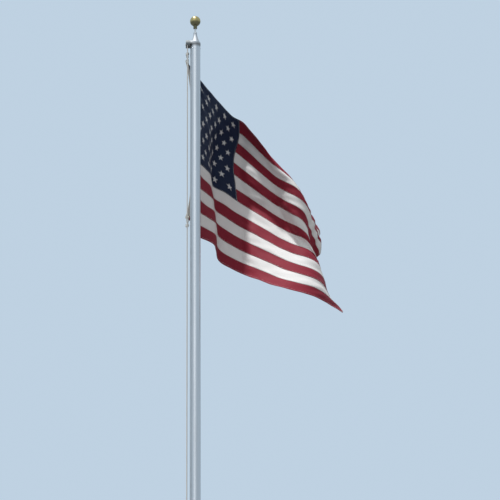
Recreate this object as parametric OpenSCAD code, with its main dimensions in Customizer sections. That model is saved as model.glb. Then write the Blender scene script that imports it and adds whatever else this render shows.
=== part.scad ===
// Sectional aluminium flagpole with an outside halyard, flying a sewn four by six foot flag.
// The origin is the centre of the pole's foot, +Z runs up the pole and the flag flies towards +X.

/* [Pole] */
// Outside diameter of the pole tube
pole_od = 73; // [60:0.5:90]
// Wall of the pole tube
pole_wall = 3.2; // [2.5:0.1:5]
// Length of the lower section, from the ground to the joint
lower_len = 3810; // [3200:10:4200]
// Length of the upper section
upper_len = 3810; // [3400:10:4200]
// Length of the sleeve inside the joint
sleeve_len = 610; // [300:10:800]
// Wall of the joint sleeve
sleeve_wall = 3.2; // [2:0.1:5]
// Thickness of the plate that closes the pole's foot
butt_plate_t = 10; // [6:1:16]

/* [Flash collar] */
// Outside diameter of the collar at the ground
collar_od = 280; // [200:5:340]
// Height of the collar
collar_h = 64; // [40:1:90]
// Sheet thickness of the collar
collar_t = 1.6; // [1.2:0.1:2.5]
// Height of the collar's neck
collar_neck_h = 14; // [8:1:20]

/* [Cleat] */
// Height of the cleat's centre above the ground
cleat_z = 1220; // [1000:10:1500]
// Length of the cleat over its horns
cleat_len = 229; // [180:1:260]
// Distance from the pole to the middle of the horns
cleat_reach = 42; // [36:1:50]
// Radius of the horns at the middle
horn_r = 9; // [7:0.5:11]
// Radius of the horn tips
horn_tip_r = 6; // [4:0.5:7]
// Distance of each cleat post from the cleat's centre
post_z = 34; // [28:1:40]
// Width of the cleat's posts and foot
post_w = 22; // [16:1:26]

/* [Truck] */
// Diameter of the truck's rim
cap_od = 76; // [74:0.5:100]
// Height of the truck's rim
cap_rim_h = 20; // [14:1:26]
// Height of the cone above the rim, with the boss at its top
cap_cone_h = 77; // [60:1:90]
// Diameter of the boss at the top of the cone
cap_boss_od = 26; // [24:1:36]
// Height of that boss
cap_boss_h = 12; // [8:1:20]
// Length of the truck's spigot inside the pole
spigot_len = 50; // [30:1:80]
// Wall of the truck's spigot
spigot_wall = 6; // [4:0.5:10]
// Thickness of the cheeks beside the sheave
cheek_t = 5; // [4:0.5:7]
// Metal over the sheave
hood_t = 5; // [4:0.5:8]

/* [Sheave] */
// Distance of the sheave's middle plane from the pole's centre
sheave_x = 56; // [54:0.5:64]
// Outside diameter of the sheave
sheave_od = 50; // [44:1:56]
// Diameter at the bottom of the groove
groove_d = 36; // [32:1:40]
// Thickness of the sheave
sheave_t = 12; // [10:0.5:14]
// Gap between the sheave and each cheek
sheave_side_gap = 1; // [0.5:0.1:2]
// Height of the sheave's centre above the pole's top
sheave_up = 6; // [0:1:20]
// Diameter of the sheave pin
pin_d = 8; // [6:0.5:10]
// Diameter of the pin's head
pin_head_d = 13; // [11:0.5:16]
// Height of the pin's head
pin_head_h = 4; // [3:0.5:6]

/* [Finial] */
// Diameter of the ball
ball_d = 76.2; // [60:0.2:100]
// Sheet thickness of the ball
ball_t = 1.6; // [1:0.1:3]
// Diameter of the spindle
spindle_d = 12.7; // [10:0.1:16]
// Clear length of spindle between the truck and the neck
spindle_clear = 36; // [20:1:45]
// Depth that the spindle is screwed into the truck
spindle_in_truck = 34; // [20:1:50]
// Width across the flats of the lock nut
nut_af = 20; // [17:0.5:24]
// Height of the lock nut
nut_h = 8; // [6:0.5:12]
// Diameter of the neck under the ball
neck_d = 27; // [22:1:34]
// Height of the neck under the ball
neck_h = 26; // [16:1:32]

/* [Halyard] */
// Diameter of the halyard
rope_d = 8; // [6:0.1:9]
// Gap between the halyard and the groove, and round the strand in the hitches
rope_gap = 0.4; // [0.3:0.1:1]

/* [Snaps] */
// Diameter of the rod that the snap hooks are made of
snap_rod_d = 5.2; // [4:0.1:6]
// Radius of the hook's bend, to the middle of the rod
snap_bend_r = 9; // [8:0.5:11]
// Length of the snap's straight legs
snap_leg = 24; // [20:1:32]
// Diameter of the gate rod
snap_gate_d = 3.6; // [3:0.1:4.5]
// Radius of the swivel eye, to the middle of its rod
eye_r = 8; // [7:0.5:10]
// Diameter of the swivel eye's rod
eye_rod_d = 4.4; // [3.5:0.1:5]
// Diameter of the snap's collar
snap_collar_d = 11; // [9:0.5:13]
// Height of the snap's collar
snap_collar_h = 10; // [8:0.5:14]
// Distance of the snaps from their halyard strand
snap_off = 22; // [20:0.5:23]
// Height of the upper hook's bend below the pole's top
snap_drop = 130; // [110:1:200]

/* [Flag] */
// Height of the flag at the hoist
flag_hoist = 1219; // [1200:1:1240]
// Length of the flag to the fly
flag_fly = 1829; // [1780:1:1860]
// Length of the blue field
canton_fly = 732; // [700:1:760]
// Width of the canvas heading
heading_w = 38; // [30:1:50]
// Thickness of the flag's solids
cloth_t = 2; // [1.5:0.1:3]
// Gap between neighbouring strips of cloth
seam_gap = 0.6; // [0.4:0.1:1]
// Inset of each grommet from the flag's edges
grommet_in = 19; // [18:0.5:24]
// Diameter of the grommet's hole
grommet_id = 9.6; // [9:0.1:12]
// Diameter of the grommet's flanges
grommet_od = 19; // [16:0.5:22]

/* [Drape] */
// Plan angle at which the cloth leaves the halyard
leave_angle = 58; // [50:1:62]
// How far the heading bows away from the halyard
heading_bow = 80; // [65:1:95]
// Plan angle of the cloth just before the crest of the deep fold
fold_angle = 86; // [75:1:95]
// Plan angle of the cloth behind the crest of the deep fold
return_angle = 5; // [-10:1:20]
// Angle below the level at which the head of the flag leaves the hoist
hoist_droop = 15; // [12:1:20]
// Angle below the level at which the head of the flag droops beyond the fold
open_droop = 53; // [48:1:57]
// Angle by which the upper corner of the fly is rolled behind
corner_roll = 46; // [30:1:60]
// Plan angle by which the lobes beside the valley swing out
lobe_angle = 10; // [5:1:15]

/* [Hidden] */
STRIPES = 13;
CANTON_STRIPES = 7;
function two_digits(n) = n < 10 ? str("0", n) : str(n);
STRIPE_NODES = [for (k = [1 : STRIPES]) str("flag_stripe_", two_digits(k))];
$fn = 64;

// Clearances
slip_gap = 0.15;
pin_gap = 0.05;
seat_gap = 0.3;
hook_gap = 0.6;

// Pole
pole_r = pole_od / 2;
pole_ir = pole_r - pole_wall;
pole_top = lower_len + upper_len;

// Halyard, which runs in the plane of the sheave
rope_r = rope_d / 2;
rope_y = groove_d / 2 + rope_gap + rope_r;
rope_x = -sheave_x;
sheave_z = pole_top + sheave_up;
sheave_r = sheave_od / 2;

// Snaps: heights are counted from the middle of the rod at the hook's bend
snap_rod_r = snap_rod_d / 2;
eye_rod_r = eye_rod_d / 2;
leg_low = snap_bend_r;
leg_high = leg_low + snap_leg;
collar_low = leg_high + snap_bend_r - snap_rod_r / 2;
collar_high = collar_low + snap_collar_h;
stem_r = 2.5;
stem_in = 5;
eye_mid = collar_high + 2 + eye_r;
loop_r = 9;
loop_rod_r = 3;
knot_mid = eye_mid + loop_r + eye_r - loop_rod_r - eye_rod_r - seat_gap;
wrap_r = rope_r + rope_gap + rope_r;
wrap_pitch = 0.95 * rope_d;
snap_y = rope_y + snap_off;
hook_z = pole_top - snap_drop;

// Grommets: the hook's rod bears on the rim of the hole, with room for its bend
grommet_r = grommet_id / 2;
grommet_sag = grommet_r - snap_rod_r - hook_gap;
grommet_z = hook_z - grommet_sag;
barrel_t = 1.2;
flange_t = 0.8;

// Cloth
stripe_w = flag_hoist / STRIPES;
heading_slack = 10;
low_grommet_z = grommet_z - (flag_hoist - 2 * grommet_in) + heading_slack;
low_hook_z = low_grommet_z - grommet_sag;

// Smooth step from 0 to 1 as t goes from a to b
function step01(a, b, t) =
    let (q = min(1, max(0, (t - a) / (b - a))))
    q * q * (3 - 2 * q);

// Smooth hump that is 1 at the middle m and 0 at a distance w
function hump(m, w, t) = step01(m - w, m, t) * (1 - step01(m, m + w, t));

// Smooth step from 0 to 1 that is half way at m
function pass(m, w, t) = step01(m - w, m + w, t);

// Angle that is v[0] at the head, changes by v[1] towards the foot and swells by v[2] between them
function graded(v, t) = v[0] + v[1] * t + v[2] * sin(180 * t);

// Plan angle of each stretch of cloth, counted from +X towards +Y
near_plan = [leave_angle, -8, 11];
field_plan = [-34, -14, 24];
middle_plan = [-31, 58, -55];
fly_plan = [11, 41, 56];
// Droop of each stretch of cloth below the level
near_droop = [hoist_droop, -13, -3];
field_droop = [open_droop, -25, -2];
fly_droop = [31, -26, 13];
// Place of the deep fold's crest along the fly, at the head and its change towards the foot
crest = [0.161, 0.044];
// Distance along the fly from the crest to the back of the fold and to the open field
fold_back = 0.123;
fold_out = 0.222;
// Where the middle and the fly stretch begin, at the head and the change towards the foot
middle_place = [0.625, 0.073];
fly_place = [0.742, 0.066];
// Where the corner that is rolled behind begins
function roll_start(t) = 0.562 + 1.25 * t - 0.21 * t * t;
// How far down the hoist the valley between the lobes lies
function valley(s) = 0.33 + 0.68 * (s - 0.55);

// Plan angle of the cloth, at s along the fly and t down the hoist, both from 0 to 1
function plan_angle(s, t) =
    let (
        deep = step01(0, 0.39, t),
        leave = graded(near_plan, t),
        away = leave + (fold_angle - leave) * deep,
        back = leave + (return_angle - leave) * deep,
        field = graded(field_plan, t),
        middle = graded(middle_plan, t),
        fly = graded(fly_plan, t),
        c = crest[0] + crest[1] * t,
        lobe = cos(360 * (t - valley(s)) / 0.62) * (1 - step01(0.8, 1, t)))
    leave
    + (away - leave) * pass(c, 0.03, s)
    + (back - away) * pass(c + fold_back, 0.04, s)
    + (field - back) * pass(c + fold_out, 0.045, s)
    + (middle - field) * pass(middle_place[0] + middle_place[1] * t, 0.08, s)
    + (fly - middle) * pass(fly_place[0] + fly_place[1] * t, 0.08, s)
    + corner_roll * (1 - 3.75 * t) * pass(roll_start(t), 0.05, s)
    - lobe_angle * lobe * hump(0.74, 0.14, s);

// Angle of the cloth below the level
function droop_angle(s, t) =
    let (
        near = graded(near_droop, t),
        field = graded(field_droop, t),
        fly = graded(fly_droop, t))
    near
    + (field - near) * pass(0.40 - 0.12 * t, 0.05, s)
    + (fly - field) * pass(middle_place[0] + middle_place[1] * t, 0.08, s)
    + (14 + 55 * t * t) * hump(0.06, 0.05, s)
    + 8 * pass(roll_start(t), 0.05, s);

// Edge of the flag at the hoist: it bows away from the line between the two grommets
function bow_shape(t) = 1 - pow(abs(2 * t - 1), 4);
function hoist_point(t) =
    let (
        droop = droop_angle(0, t),
        bow = heading_bow * (bow_shape(t) - bow_shape(grommet_in / flag_hoist)),
        out = bow - grommet_in * cos(droop),
        top_z = grommet_z + grommet_in,
        low_z = low_grommet_z - grommet_in)
    [rope_x + out * cos(leave_angle),
     snap_y + out * sin(leave_angle),
     top_z + (low_z - top_z) * t + grommet_in * sin(droop)];

// One thread of the cloth that runs from the hoist to the fly
STEPS = 60;
step_len = flag_fly / STEPS;
function thread_step(i, t) =
    let (
        s = (i + 0.5) / STEPS,
        plan = plan_angle(s, t),
        droop = droop_angle(s, t))
    step_len * [cos(droop) * cos(plan), cos(droop) * sin(plan), -sin(droop)];
function thread(v) =
    let (t = min(1, max(0, v / flag_hoist)))
    [for (i = 0, p = hoist_point(t); i <= STEPS; p = p + thread_step(i, t), i = i + 1) p];

// Point at the distance u along a thread
function along(points, u) =
    let (
        place = min(STEPS - 0.001, max(0, u / step_len)),
        i = floor(place),
        f = place - i)
    points[i] * (1 - f) + points[i + 1] * f;

function unit(v) = v / norm(v);

// Grid of the cloth's middle surface and its two faces
NEAR = 12;
function cloth_face(us, vs, side) = [
    for (v = vs)
        let (
            here = thread(v),
            above = thread(max(0, v - NEAR)),
            below = thread(min(flag_hoist, v + NEAR)))
        for (u = us)
            let (
                du = along(here, u + NEAR) - along(here, u - NEAR),
                dv = along(below, u) - along(above, u))
            along(here, u) + side * cloth_t / 2 * unit(cross(dv, du))];

// Closed solid of a strip of cloth between two lists of stations
module cloth(us, vs) {
    nu = len(us);
    nv = len(vs);
    back = nu * nv;
    front_face = [for (j = [0 : nv - 2]) for (i = [0 : nu - 2])
        let (a = j * nu + i, b = a + 1, c = a + nu, d = c + 1)
        each [[a, b, d], [a, d, c]]];
    back_face = [for (f = front_face) [f[0] + back, f[2] + back, f[1] + back]];
    rim = concat(
        [for (i = [0 : nu - 1]) i],
        [for (j = [1 : nv - 1]) j * nu + nu - 1],
        [for (i = [nu - 2 : -1 : 0]) (nv - 1) * nu + i],
        [for (j = [nv - 2 : -1 : 1]) j * nu]);
    n = len(rim);
    edge_face = [for (k = [0 : n - 1])
        let (a = rim[k], b = rim[(k + 1) % n])
        each [[a, a + back, b + back], [a, b + back, b]]];
    polyhedron(
        points = concat(cloth_face(us, vs, 1), cloth_face(us, vs, -1)),
        faces = concat(front_face, back_face, edge_face));
}

// Stations along the fly from a to b, at about the given pitch
function stations(a, b, pitch) =
    let (n = max(1, round((b - a) / pitch)))
    [for (i = [0 : n]) a + (b - a) * i / n];

// Neighbouring strips share their stations, so that their edges follow the same line
fly_pitch = 50;
half_seam = seam_gap / 2;
beside_canton = stations(heading_w + half_seam, canton_fly - half_seam, fly_pitch);
beyond_canton = stations(canton_fly + half_seam, flag_fly, fly_pitch);

module flag_stripe(k) {
    v0 = (k - 1) * stripe_w + (k == 1 ? 0 : half_seam);
    v1 = k * stripe_w - (k == STRIPES ? 0 : half_seam);
    us = k <= CANTON_STRIPES ? beyond_canton : concat(beside_canton, beyond_canton);
    vs = concat([v0, (v0 + v1) / 2], k == STRIPES ? [flag_hoist - grommet_in] : [], [v1]);
    color(k % 2 == 1 ? "firebrick" : "whitesmoke") cloth(us, vs);
}

module flag_canton() {
    low = CANTON_STRIPES * stripe_w - half_seam;
    color("midnightblue")
        cloth(beside_canton, concat([0, grommet_in], stations(stripe_w / 2, low, stripe_w / 2)));
}

// Place of a grommet: down counts from the top edge, or from the foot when it is low
function grommet_place(low) =
    let (v = low ? flag_hoist - grommet_in : grommet_in)
    along(thread(v), grommet_in);
function grommet_axis(low) =
    let (
        v = low ? flag_hoist - grommet_in : grommet_in,
        here = thread(v),
        above = thread(v - NEAR),
        below = thread(v + NEAR),
        du = along(here, grommet_in + NEAR) - along(here, grommet_in - NEAR),
        dv = along(below, grommet_in) - along(above, grommet_in))
    unit(cross(dv, du));

// Turns +Z to the given direction
module turn_to(d) {
    rotate([0, acos(d[2]), atan2(d[1], d[0])]) children();
}

module flag_heading() {
    color("ivory") difference() {
        cloth(
            stations(0, heading_w - half_seam, heading_w),
            concat(
                [0, grommet_in],
                stations(stripe_w / 2, flag_hoist - stripe_w / 2, stripe_w / 2),
                [flag_hoist - grommet_in, flag_hoist]));
        for (low = [false, true])
            translate(grommet_place(low)) turn_to(grommet_axis(low))
                cylinder(r = grommet_r + barrel_t + pin_gap, h = 40, center = true);
    }
}

module grommet(low) {
    half = cloth_t / 2 + seat_gap;
    color("goldenrod") translate(grommet_place(low)) turn_to(grommet_axis(low))
        rotate_extrude()
            polygon([
                [grommet_r, -half - flange_t], [grommet_od / 2, -half - flange_t / 2],
                [grommet_od / 2, -half], [grommet_r + barrel_t, -half],
                [grommet_r + barrel_t, half], [grommet_od / 2, half],
                [grommet_od / 2, half + flange_t / 2], [grommet_r, half + flange_t]]);
}

// The upper snap hangs hook down, and the lower snap is the same, turned hook up.
// The hook turns with the cloth, and the swivel eye stays square to the knot's loop.
module at_snap(low, with_cloth = true) {
    place = grommet_place(low);
    axis = grommet_axis(low);
    z = low ? place[2] - grommet_sag : place[2] + grommet_sag;
    translate([place[0], place[1], z])
        mirror([0, 0, low ? 1 : 0])
            rotate([0, 0, with_cloth ? atan2(axis[1], axis[0]) : 0]) children();
}

module snap_hook(low) {
    color("silver") at_snap(low) {
        translate([0, 0, leg_low]) rotate([90, 0, 0]) rotate([0, 0, 180])
            rotate_extrude(angle = 180) translate([snap_bend_r, 0]) circle(r = snap_rod_r, $fn = 32);
        translate([snap_bend_r, 0, leg_low]) cylinder(r = snap_rod_r, h = snap_leg, $fn = 32);
        translate([0, 0, leg_high]) rotate([90, 0, 0])
            rotate_extrude(angle = 180) translate([snap_bend_r, 0]) circle(r = snap_rod_r, $fn = 32);
        difference() {
            translate([0, 0, collar_low]) cylinder(r = snap_collar_d / 2, h = snap_collar_h);
            translate([0, 0, collar_high - stem_in - seat_gap])
                cylinder(r = stem_r + pin_gap, h = stem_in + 1);
        }
    }
}

module snap_gate(low) {
    color("silver") at_snap(low)
        translate([-snap_bend_r, 0, leg_low + seat_gap])
            cylinder(r = snap_gate_d / 2, h = snap_leg - 2 * seat_gap, $fn = 32);
}

module snap_eye(low) {
    color("silver") at_snap(low, false) {
        translate([0, 0, collar_high - stem_in]) cylinder(r = stem_r, h = stem_in + 2, $fn = 32);
        translate([0, 0, eye_mid]) rotate([90, 0, 0])
            rotate_extrude() translate([eye_r, 0]) circle(r = eye_rod_r, $fn = 32);
    }
}

module flag_knot(low) {
    place = grommet_place(low);
    z = low ? place[2] - grommet_sag - knot_mid : place[2] + grommet_sag + knot_mid;
    color("whitesmoke") {
        translate([place[0], place[1], z]) rotate([0, 90, 0])
            rotate_extrude() translate([loop_r, 0]) circle(r = loop_rod_r, $fn = 32);
        for (turn = [-1 : 1])
            translate([rope_x, rope_y, z + turn * wrap_pitch])
                rotate_extrude() translate([wrap_r, 0]) circle(r = rope_r, $fn = 32);
    }
}

module tube(ro, ri, h) {
    difference() {
        cylinder(r = ro, h = h, $fn = 96);
        translate([0, 0, -1]) cylinder(r = ri, h = h + 2, $fn = 96);
    }
}

module pole_lower_section() {
    color("silver") tube(pole_r, pole_ir, lower_len);
}

module pole_upper_section() {
    color("silver") translate([0, 0, lower_len]) tube(pole_r, pole_ir, upper_len);
}

module joint_sleeve() {
    sleeve_r = pole_ir - slip_gap;
    color("silver") translate([0, 0, lower_len - sleeve_len / 2])
        tube(sleeve_r, sleeve_r - sleeve_wall, sleeve_len);
}

module butt_plate() {
    color("silver") cylinder(r = pole_ir - slip_gap, h = butt_plate_t, $fn = 96);
}

// Bell of spun sheet round the pole's foot
module flash_collar() {
    neck_r = pole_r + seat_gap;
    rim_r = collar_od / 2;
    bell_h = collar_h - collar_neck_h;
    turns = 14;
    bell = [for (i = [0 : turns])
        let (a = 90 * i / turns)
        [neck_r + (rim_r - neck_r) * (1 - cos(a)), bell_h * (1 - sin(a))]];
    color("silver") rotate_extrude($fn = 96) polygon(concat(
        [[neck_r, collar_h]],
        bell,
        [for (i = [turns : -1 : 0])
            [bell[i][0] + (i == turns ? 0 : collar_t), bell[i][1] + (i == 0 ? 0 : collar_t)]],
        [[neck_r + collar_t, collar_h]]));
}

// Two horned casting that the halyard is made fast to
module cleat() {
    half_len = cleat_len / 2;
    color("silver") translate([0, 0, cleat_z]) difference() {
        union() {
            for (side = [-1, 1]) {
                hull() {
                    translate([-pole_r - cleat_reach, 0, 0]) sphere(r = horn_r, $fn = 32);
                    translate([-pole_r - cleat_reach - 3, 0, side * (half_len - horn_tip_r)])
                        sphere(r = horn_tip_r, $fn = 32);
                }
                hull() {
                    translate([-pole_r - cleat_reach, 0, side * (post_z - 8)]) sphere(r = horn_r - 1, $fn = 32);
                    translate([-pole_r - 4, 0, side * post_z])
                        rotate([0, 90, 0]) cylinder(r = post_w / 2, h = 4, $fn = 32);
                }
            }
            translate([-pole_r - 5, -post_w / 2, -post_z]) cube([12, post_w, 2 * post_z]);
        }
        translate([0, 0, -half_len]) cylinder(r = pole_r + slip_gap, h = cleat_len, $fn = 96);
    }
}

strand_low = cleat_z + post_z;

module strand(side) {
    translate([rope_x, side * rope_y, strand_low])
        cylinder(r = rope_r, h = sheave_z - strand_low, $fn = 32);
}

module halyard_front_strand() {
    color("whitesmoke") strand(-1);
}

module halyard_back_strand() {
    color("whitesmoke") strand(1);
}

module half_ring(r, rod_r) {
    rotate_extrude(angle = 180) translate([r, 0]) circle(r = rod_r, $fn = 32);
}

module halyard_bend() {
    color("whitesmoke") translate([rope_x, 0, sheave_z])
        rotate([90, 0, 90]) half_ring(rope_y, rope_r);
}

// Two figures of eight that the halyard lies in round the cleat's horns. The angle a runs along the
// rope: at -90 it passes behind the lower horn, at 0 it crosses the front and at 90 it passes behind
// the upper horn. Each turn lies outside the one before it.
eight_from = -90;
eight_to = 630;
lay = rope_d + 0.7;
function eight(a) =
    let (
        turn = (a - eight_from) / 360,
        front = horn_r + rope_r + 1 + lay * a / 180,
        behind = horn_r + rope_r - 1 + 0.1 * lay * turn,
        half_w = horn_r + rope_r + 3 + 0.75 * lay * turn,
        half_h = post_z + post_w / 2 + rope_r + 1 + 1.2 * lay * turn)
    [-pole_r - cleat_reach - (cos(2 * a) > 0 ? front : behind) * cos(2 * a),
     half_w * sin(2 * a),
     cleat_z + half_h * sin(a)];

function bezier(p, f) =
    p[0] * pow(1 - f, 3) + p[1] * 3 * f * pow(1 - f, 2) + p[2] * 3 * f * f * (1 - f) + p[3] * pow(f, 3);

// Rope between a strand's end, at f = 0, and the figure of eight, at f = 1
LEAD_STEPS = 10;
function lead(side, f) =
    let (
        top = [rope_x, side * rope_y, strand_low - rope_d],
        end = eight(side > 0 ? eight_from : eight_to),
        drop = side > 0 ? 55 : 84)
    bezier([top, top - [0, 0, drop], end + [0, 3 * side * rope_d, 0], end], f);

hitch_route = concat(
    [[rope_x, rope_y, strand_low]],
    [for (i = [0 : LEAD_STEPS - 1]) lead(1, i / LEAD_STEPS)],
    [for (a = [eight_from : 15 : eight_to]) eight(a)],
    [for (i = [LEAD_STEPS - 1 : -1 : 0]) lead(-1, i / LEAD_STEPS)],
    [[rope_x, -rope_y, strand_low]]);

// Rope of radius r swept along a list of points
module rope_along(points, r) {
    sides = 8;
    n = len(points);
    ways = [for (i = [0 : n - 1]) unit(points[min(n - 1, i + 1)] - points[max(0, i - 1)])];
    ups = [for (i = 0, up = [1, 0, 0]; i < n;
                i = i + 1, up = i < n ? unit(up - (up * ways[i]) * ways[i]) : up) up];
    rings = [for (i = [0 : n - 1])
        let (up = unit(ups[i] - (ups[i] * ways[i]) * ways[i]), out = cross(ways[i], up))
            for (k = [0 : sides - 1])
                points[i] + r * (cos(360 * k / sides) * up + sin(360 * k / sides) * out)];
    walls = [for (i = [0 : n - 2]) for (k = [0 : sides - 1])
        let (a = i * sides + k, b = i * sides + (k + 1) % sides)
        each [[a, b + sides, b], [a, a + sides, b + sides]]];
    last = (n - 1) * sides;
    caps = [for (k = [1 : sides - 2]) each [[0, k, k + 1], [last, last + k + 1, last + k]]];
    polyhedron(points = rings, faces = concat(walls, caps));
}

module halyard_hitch() {
    color("whitesmoke") rope_along(hitch_route, rope_r);
}

sheave_half = sheave_t / 2;
fork_gap = sheave_half + sheave_side_gap;
hood_r = sheave_r + 3;
pin_len = 2 * fork_gap + 2 * cheek_t + 3;

// Cap with a spigot in the pole, a cone to the ball's spindle and a hooded fork for the sheave
module truck() {
    fork_out = sheave_x + fork_gap + cheek_t;
    boss_r = cap_boss_od / 2;
    rim_round = 2;
    shoulder_r = cap_od / 2 - 2 * rim_round;
    neck_z = cap_rim_h + cap_cone_h - cap_boss_h;
    flare = [for (i = [0 : 6])
        let (f = i / 6)
        [boss_r + (shoulder_r - boss_r) * pow(1 - f, 1.35), cap_rim_h + (neck_z - cap_rim_h) * f]];
    color("gainsboro") difference() {
        union() {
            translate([0, 0, pole_top]) rotate_extrude($fn = 96) polygon(concat(
                [[0, 0], [pole_ir - slip_gap - spigot_wall, 0],
                 [pole_ir - slip_gap - spigot_wall, -spigot_len], [pole_ir - slip_gap, -spigot_len],
                 [pole_ir - slip_gap, 0], [cap_od / 2, 0], [cap_od / 2, cap_rim_h - rim_round],
                 [cap_od / 2 - rim_round, cap_rim_h]],
                flare,
                [[boss_r, cap_rim_h + cap_cone_h], [0, cap_rim_h + cap_cone_h]]));
            translate([-fork_out, 0, sheave_z]) rotate([0, 90, 0])
                cylinder(r = hood_r + hood_t, h = fork_out - boss_r, $fn = 64);
        }
        translate([-sheave_x - fork_gap, -hood_r, sheave_z - hood_r - hood_t - 1])
            cube([2 * fork_gap, 2 * hood_r, hood_r + hood_t + 1]);
        translate([-sheave_x - fork_gap, 0, sheave_z]) rotate([0, 90, 0])
            cylinder(r = hood_r, h = 2 * fork_gap, $fn = 64);
        translate([-fork_out - 1, 0, sheave_z]) rotate([0, 90, 0])
            cylinder(r = pin_d / 2 + pin_gap, h = 2 * fork_gap + 2 * cheek_t + 1 + 4, $fn = 48);
        translate([-fork_out - 1, -hood_r - hood_t - 1, sheave_z - hood_r - hood_t - 1])
            cube([fork_out + 1 - pole_r - seat_gap, 2 * (hood_r + hood_t + 1), hood_r + hood_t + 1 - 14]);
        difference() {
            translate([-pole_r - seat_gap - 1, -hood_r - hood_t - 1, pole_top - 60])
                cube([pole_r + seat_gap + 1, 2 * (hood_r + hood_t + 1), 60]);
            translate([0, 0, pole_top - 61]) cylinder(r = pole_ir - slip_gap, h = 62, $fn = 96);
        }
        translate([0, 0, pole_top + cap_rim_h + cap_cone_h - spindle_in_truck])
            cylinder(r = spindle_d / 2 + pin_gap, h = spindle_in_truck + 1, $fn = 48);
    }
}

module sheave() {
    color("dimgray") translate([rope_x, 0, sheave_z]) rotate([0, 90, 0]) rotate_extrude($fn = 96)
        difference() {
            translate([pin_d / 2 + pin_gap, -sheave_half]) square([sheave_r - pin_d / 2 - pin_gap, sheave_t]);
            translate([groove_d / 2 + rope_r + rope_gap, 0]) circle(r = rope_r + rope_gap, $fn = 48);
            translate([groove_d / 2 + rope_r + rope_gap, -rope_r - rope_gap])
                square([sheave_r, 2 * (rope_r + rope_gap)]);
        }
}

module sheave_pin() {
    fork_out = sheave_x + fork_gap + cheek_t;
    color("silver") translate([-fork_out, 0, sheave_z]) rotate([0, 90, 0]) {
        translate([0, 0, -pin_head_h]) cylinder(r = pin_d / 2, h = pin_head_h + pin_len, $fn = 48);
        translate([0, 0, -seat_gap - pin_head_h]) cylinder(r = pin_head_d / 2, h = pin_head_h, $fn = 48);
    }
}

spindle_low = pole_top + cap_rim_h + cap_cone_h - spindle_in_truck;
truck_top = pole_top + cap_rim_h + cap_cone_h;
neck_low = truck_top + spindle_clear;
ball_mid = neck_low + neck_h + ball_d / 2 - 3;

module finial_spindle() {
    color("silver") translate([0, 0, spindle_low + seat_gap])
        cylinder(r = spindle_d / 2, h = ball_mid - spindle_low - 6, $fn = 48);
}

module spindle_nut() {
    color("silver") translate([0, 0, truck_top + seat_gap]) difference() {
        cylinder(r = nut_af / 2 / cos(30), h = nut_h, $fn = 6);
        translate([0, 0, -1]) cylinder(r = spindle_d / 2 + pin_gap, h = nut_h + 2, $fn = 48);
    }
}

module ball_neck() {
    color("goldenrod") difference() {
        translate([0, 0, neck_low]) rotate_extrude()
            polygon([[0, 0], [neck_d / 2 - 3, 0], [neck_d / 2, 3], [neck_d / 2, neck_h], [0, neck_h]]);
        translate([0, 0, neck_low - 1]) cylinder(r = spindle_d / 2 + pin_gap, h = neck_h + 2, $fn = 48);
        translate([0, 0, ball_mid]) sphere(r = ball_d / 2 + slip_gap, $fn = 96);
    }
}

module ball_half(top) {
    color("goldenrod") translate([0, 0, ball_mid]) difference() {
        sphere(r = ball_d / 2, $fn = 96);
        sphere(r = ball_d / 2 - ball_t, $fn = 96);
        translate([-ball_d, -ball_d, top ? -2 * ball_d : 0]) cube(2 * ball_d);
        translate([0, 0, -ball_d]) cylinder(r = spindle_d / 2 + pin_gap, h = ball_d, $fn = 48);
    }
}

pole_lower_section();
pole_upper_section();
joint_sleeve();
butt_plate();
flash_collar();
cleat();
halyard_hitch();
halyard_front_strand();
halyard_back_strand();
halyard_bend();
truck();
sheave();
sheave_pin();
finial_spindle();
spindle_nut();
ball_neck();
ball_half(false);  // ball_lower_half
ball_half(true);  // ball_upper_half
flag_knot(false);  // upper_knot
snap_eye(false);  // upper_snap_eye
snap_hook(false);  // upper_snap_hook
snap_gate(false);  // upper_snap_gate
grommet(false);  // upper_grommet
flag_knot(true);  // lower_knot
snap_eye(true);  // lower_snap_eye
snap_hook(true);  // lower_snap_hook
snap_gate(true);  // lower_snap_gate
grommet(true);  // lower_grommet
flag_heading();
flag_canton();
for (k = [1 : STRIPES])
    flag_stripe(k);
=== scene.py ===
import math

import bmesh
import bpy
import numpy as np
from mathutils import Matrix, Vector, noise


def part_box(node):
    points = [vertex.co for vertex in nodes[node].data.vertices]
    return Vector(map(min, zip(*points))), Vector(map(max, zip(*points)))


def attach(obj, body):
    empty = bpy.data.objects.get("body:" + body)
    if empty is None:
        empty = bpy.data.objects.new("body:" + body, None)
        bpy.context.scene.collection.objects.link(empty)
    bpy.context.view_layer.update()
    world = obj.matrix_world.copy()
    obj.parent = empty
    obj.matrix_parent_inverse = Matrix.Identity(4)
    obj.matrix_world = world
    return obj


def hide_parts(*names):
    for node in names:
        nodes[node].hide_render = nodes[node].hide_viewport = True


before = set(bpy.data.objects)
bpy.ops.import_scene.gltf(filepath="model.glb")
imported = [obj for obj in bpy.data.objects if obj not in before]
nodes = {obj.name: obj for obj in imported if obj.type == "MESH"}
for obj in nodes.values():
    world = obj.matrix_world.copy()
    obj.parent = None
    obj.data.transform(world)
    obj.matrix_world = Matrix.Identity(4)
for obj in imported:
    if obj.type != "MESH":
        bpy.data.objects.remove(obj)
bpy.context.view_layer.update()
scene = bpy.context.scene

# Sizes of the part's source that the dressed pieces repeat, in metres
POLE_R = 0.0365
POLE_TOP = 7.62
ROPE_R = 0.004
ROPE_X = -0.056
ROPE_Y = 0.0224
SHEAVE_Z = 7.626
CLEAT_Z = 1.22
CLEAT_REACH = 0.042
HORN_R = 0.009
POST_Z = 0.034
POST_W = 0.022
HOIST = 1.219
FLY = 1.829
CANTON_FLY = 0.732
HEADING_W = 0.038
STRIPES = 13
CANTON_STRIPES = 7
STRIPE_W = HOIST / STRIPES
FIELD_FOOT = CANTON_STRIPES * STRIPE_W
GROMMET_IN = 0.019


# ---- placing things and wiring nodes ----

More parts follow.
